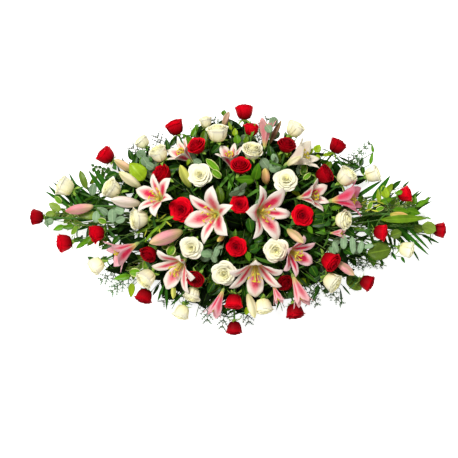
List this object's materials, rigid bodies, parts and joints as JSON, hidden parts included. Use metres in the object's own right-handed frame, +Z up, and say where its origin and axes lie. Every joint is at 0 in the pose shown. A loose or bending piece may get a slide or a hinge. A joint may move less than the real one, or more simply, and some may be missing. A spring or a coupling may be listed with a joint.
{
  "type": "casket spray",
  "caption": "Low double-ended funeral spray of red and white roses, pink lilies and mixed greenery in taped wet foam on a long tray.",
  "frame": {"origin": "centre of the tray's flat underside", "axes": "+X along the spray towards the right end of the picture, +Y towards the picture's top edge, +Z up"},
  "size_m": [1.2023, 0.6635, 0.3382],
  "materials": {
    "tray": "satin",
    "foam": "matte",
    "tape": "satin",
    "red_petal": "matte",
    "white_petal": "matte",
    "lily_petal": "matte",
    "palm_leaf": "satin",
    "fern_leaf": "matte",
    "eucalyptus_leaf": "matte",
    "broad_leaf": "satin",
    "variegated_leaf": "satin"
  },
  "bodies": {
    "root": {"tray": "tray", "foam_brick_left": "foam", "foam_brick_right": "foam", "tape_left": "tape", "tape_right": "tape", "red_roses_left_end": "red_petal", "red_roses_left_top": "red_petal", "red_roses_top_left": "red_petal", "red_roses_top": "red_petal", "red_roses_top_right": "red_petal", "red_roses_right_end": "red_petal", "red_roses_right": "red_petal", "red_roses_crown": "red_petal", "red_roses_crown_right": "red_petal", "red_roses_bottom_right": "red_petal", "red_roses_bottom": "red_petal", "red_roses_bottom_left": "red_petal", "white_roses_left": "white_petal", "white_roses_top_left": "white_petal", "white_roses_top": "white_petal", "white_roses_top_middle": "white_petal", "white_roses_top_right": "white_petal", "white_roses_right": "white_petal", "white_roses_right_low": "white_petal", "white_roses_bottom": "white_petal", "white_roses_bottom_left": "white_petal", "white_roses_left_low": "white_petal", "lilies_left": "lily_petal", "lilies_top_left": "lily_petal", "lilies_top": "lily_petal", "lilies_crown_left": "lily_petal", "lilies_crown_right": "lily_petal", "lilies_right_top": "lily_petal", "lilies_right": "lily_petal", "lilies_right_low": "lily_petal", "lilies_bottom": "lily_petal", "lilies_bottom_left": "lily_petal", "lilies_left_low": "lily_petal", "palm_left": "palm_leaf", "palm_right": "palm_leaf", "fern_left_low": "fern_leaf", "fern_bottom_left": "fern_leaf", "fern_bottom": "fern_leaf", "fern_bottom_right": "fern_leaf", "fern_right_low": "fern_leaf", "fern_top_right": "fern_leaf", "fern_top": "fern_leaf", "fern_top_left": "fern_leaf", "eucalyptus_left": "eucalyptus_leaf", "eucalyptus_top_left": "eucalyptus_leaf", "eucalyptus_top": "eucalyptus_leaf", "eucalyptus_crown": "eucalyptus_leaf", "eucalyptus_bottom": "eucalyptus_leaf", "eucalyptus_right": "eucalyptus_leaf", "leaves_top": "broad_leaf", "leaves_crown": "broad_leaf", "leaves_right": "broad_leaf", "pittosporum_left": "variegated_leaf", "pittosporum_low": "variegated_leaf", "pittosporum_right": "variegated_leaf"}
  },
  "joints": []
}
